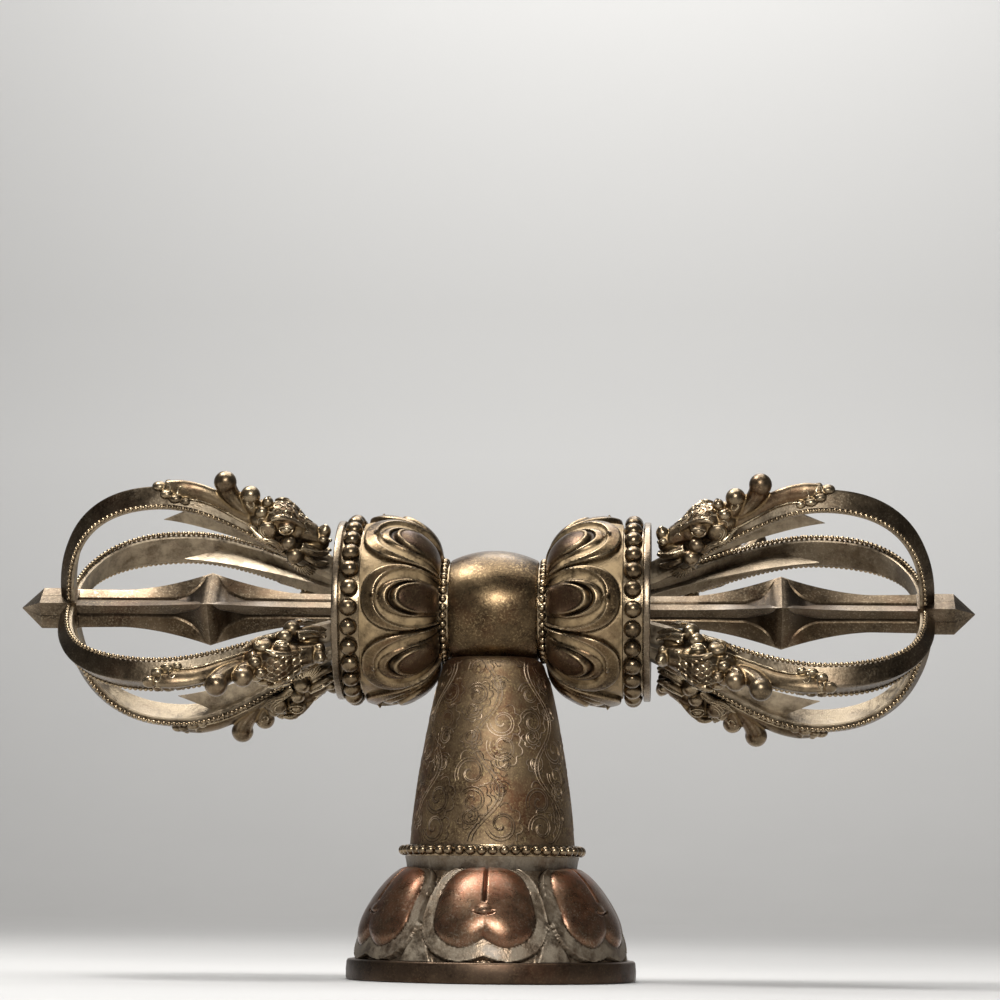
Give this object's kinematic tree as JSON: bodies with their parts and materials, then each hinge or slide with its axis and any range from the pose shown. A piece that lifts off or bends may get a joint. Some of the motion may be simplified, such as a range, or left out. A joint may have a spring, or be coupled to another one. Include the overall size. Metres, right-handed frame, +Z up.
{
  "type": "dorje vajra on a lotus stand",
  "caption": "Ritual double-ended vajra with caged prongs, makara heads, beaded collars and lotus cups, lying across a tapering column on a lotus base.",
  "frame": {"origin": "on the table, under the middle of the round plinth", "axes": "+Z up the stand, +X along the vajra, -Y towards the viewer"},
  "size_m": [0.42, 0.126, 0.2182],
  "materials": {
    "cast_bronze": "aged dark bronze, tan in the recesses",
    "pale_bronze": "rubbed bronze with a grey-gold sheen",
    "bead_bronze": "polished bronze beads",
    "column_bronze": "brown patina with copper patches",
    "stand_bead_bronze": "polished brown bronze",
    "lacquered_bronze": "dark red-brown lacquer over bronze",
    "plinth_bronze": "dark brown patina",
    "copper_sheet": "dull copper",
    "iron_rod": "plain iron"
  },
  "bodies": {
    "stand": {"stand_column": "column_bronze", "stand_beads": "stand_bead_bronze", "lotus_dome": "lacquered_bronze", "plinth": "plinth_bronze", "sealing_sheet": "copper_sheet", "stand_bolt": "iron_rod", "stand_washer": "iron_rod"},
    "vajra": {"grip_hub": "cast_bronze", "tie_rod": "iron_rod", "left_neck_beads": "bead_bronze", "left_lotus_cup": "cast_bronze", "left_mouth_beads": "bead_bronze", "left_prong_plate": "pale_bronze", "left_centre_prong": "pale_bronze", "right_neck_beads": "bead_bronze", "right_lotus_cup": "cast_bronze", "right_mouth_beads": "bead_bronze", "right_prong_plate": "pale_bronze", "right_centre_prong": "pale_bronze", "left_prong_upper_front": "pale_bronze", "left_prong_upper_back": "pale_bronze", "left_prong_lower_back": "pale_bronze", "left_prong_lower_front": "pale_bronze", "right_prong_upper_front": "pale_bronze", "right_prong_upper_back": "pale_bronze", "right_prong_lower_back": "pale_bronze", "right_prong_lower_front": "pale_bronze", "left_edging_upper_front": "bead_bronze", "left_edging_upper_back": "bead_bronze", "left_edging_lower_back": "bead_bronze", "left_edging_lower_front": "bead_bronze", "right_edging_upper_front": "bead_bronze", "right_edging_upper_back": "bead_bronze", "right_edging_lower_back": "bead_bronze", "right_edging_lower_front": "bead_bronze", "left_makara_upper_front": "cast_bronze", "left_makara_upper_back": "cast_bronze", "left_makara_lower_back": "cast_bronze", "left_makara_lower_front": "cast_bronze", "right_makara_upper_front": "cast_bronze", "right_makara_upper_back": "cast_bronze", "right_makara_lower_back": "cast_bronze", "right_makara_lower_front": "cast_bronze"}
  },
  "joints": [
    {"name": "vajra_lift", "type": "slide", "parent": "stand", "child": "vajra", "axis": [0, 0, 1], "range_m": [0, 0.09]}
  ]
}
